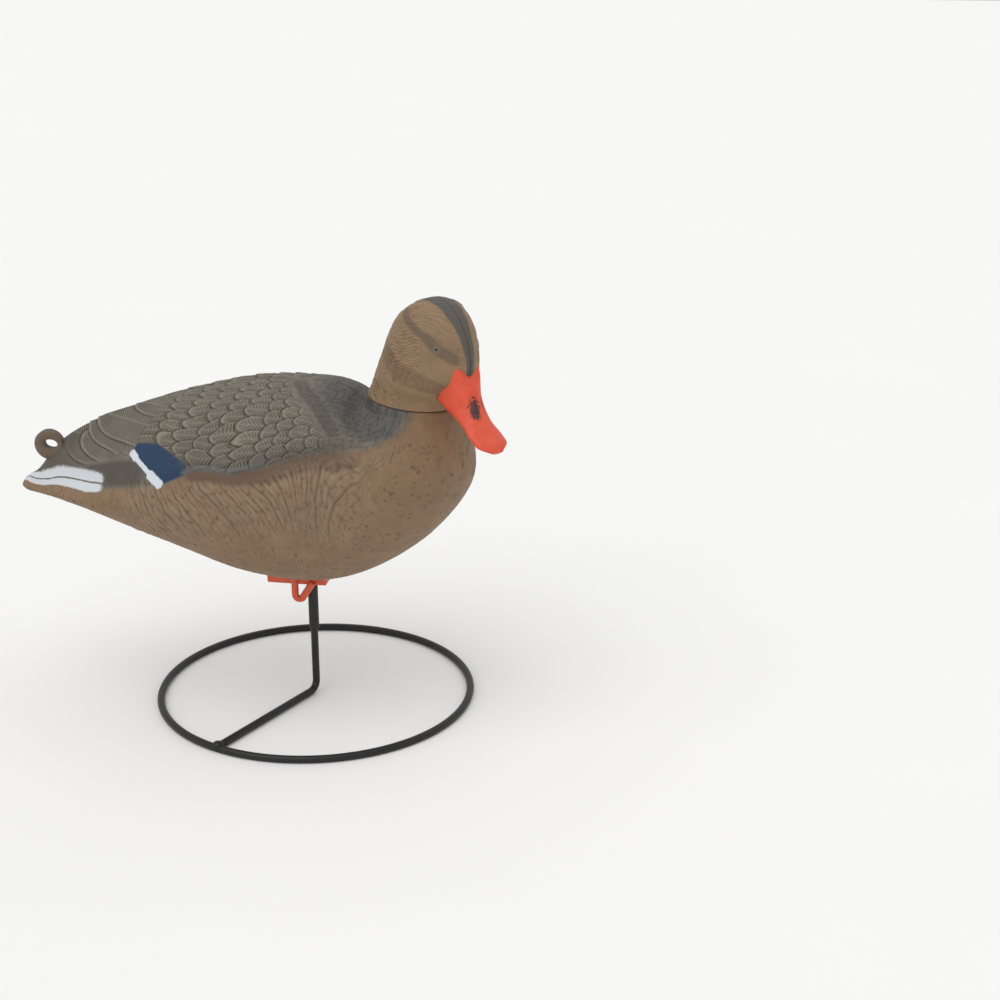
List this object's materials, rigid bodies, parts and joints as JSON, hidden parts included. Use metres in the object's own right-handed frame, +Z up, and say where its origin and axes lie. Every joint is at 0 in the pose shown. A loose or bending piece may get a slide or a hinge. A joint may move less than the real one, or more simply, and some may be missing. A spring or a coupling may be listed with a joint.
{
  "type": "duck decoy on ring stand",
  "caption": "Full-body hen duck decoy of moulded halves that swivels on a bent rod with a ring foot; the head turns and lifts off at the neck.",
  "frame": {"origin": "middle of the object's box, on the ground under the ring stand", "axes": "+X forward along the body from tail to breast, +Y to the duck's left, +Z up"},
  "size_m": [0.4054, 0.26, 0.3415],
  "materials": {
    "black_steel": "black paint on steel rod, semi-gloss",
    "black_tube": "black extruded plastic tube, slight sheen",
    "grey_plastic": "unpainted grey moulded plastic, hidden inside",
    "orange_plastic": "orange moulded plastic, satin",
    "zinc_steel": "zinc-plated screw",
    "body_paint": "matt painted plumage in browns and greys over carved feathers, blue wing patch with white bar, white tail edge",
    "head_paint": "matt painted brown head with darker crown and eye stripe over fine combed grooves",
    "bill_paint": "satin orange-red paint with a dark blotch",
    "eye_black": "glossy black"
  },
  "bodies": {
    "stand": {"ground_ring": "black_steel", "upright_rod": "black_steel", "ring_weld": "black_steel"},
    "sleeve": {"swivel_sleeve": "black_tube", "thrust_plug": "grey_plastic"},
    "decoy": {"body_shell_left": "body_paint", "body_shell_right": "body_paint", "foot_bracket": "orange_plastic", "backing_plate": "grey_plastic", "bracket_screw_rear": "zinc_steel", "bracket_screw_front": "zinc_steel", "neck_collar": "grey_plastic"},
    "neck_bush": {"neck_bushing": "grey_plastic"},
    "head": {"neck_plug": "grey_plastic", "head_shell_left": "head_paint", "head_shell_right": "head_paint", "bill": "bill_paint", "eye_left": "eye_black", "eye_right": "eye_black"}
  },
  "joints": [
    {"name": "decoy_lift", "type": "slide", "parent": "stand", "child": "sleeve", "axis": [0, 0, 1], "range_m": [0, 0.11]},
    {"name": "decoy_swivel", "type": "hinge", "parent": "sleeve", "child": "decoy", "pos_m": [0.0343, 0, 0.1075], "axis": [0, 0, 1], "continuous": true},
    {"name": "head_turn", "type": "hinge", "parent": "decoy", "child": "neck_bush", "pos_m": [0.1221, 0, 0.2577], "axis": [0.1028, 0, 0.9947], "range_deg": [-80, 160]},
    {"name": "head_lift", "type": "slide", "parent": "neck_bush", "child": "head", "axis": [0.1028, 0, 0.9947], "range_m": [0, 0.015]}
  ]
}
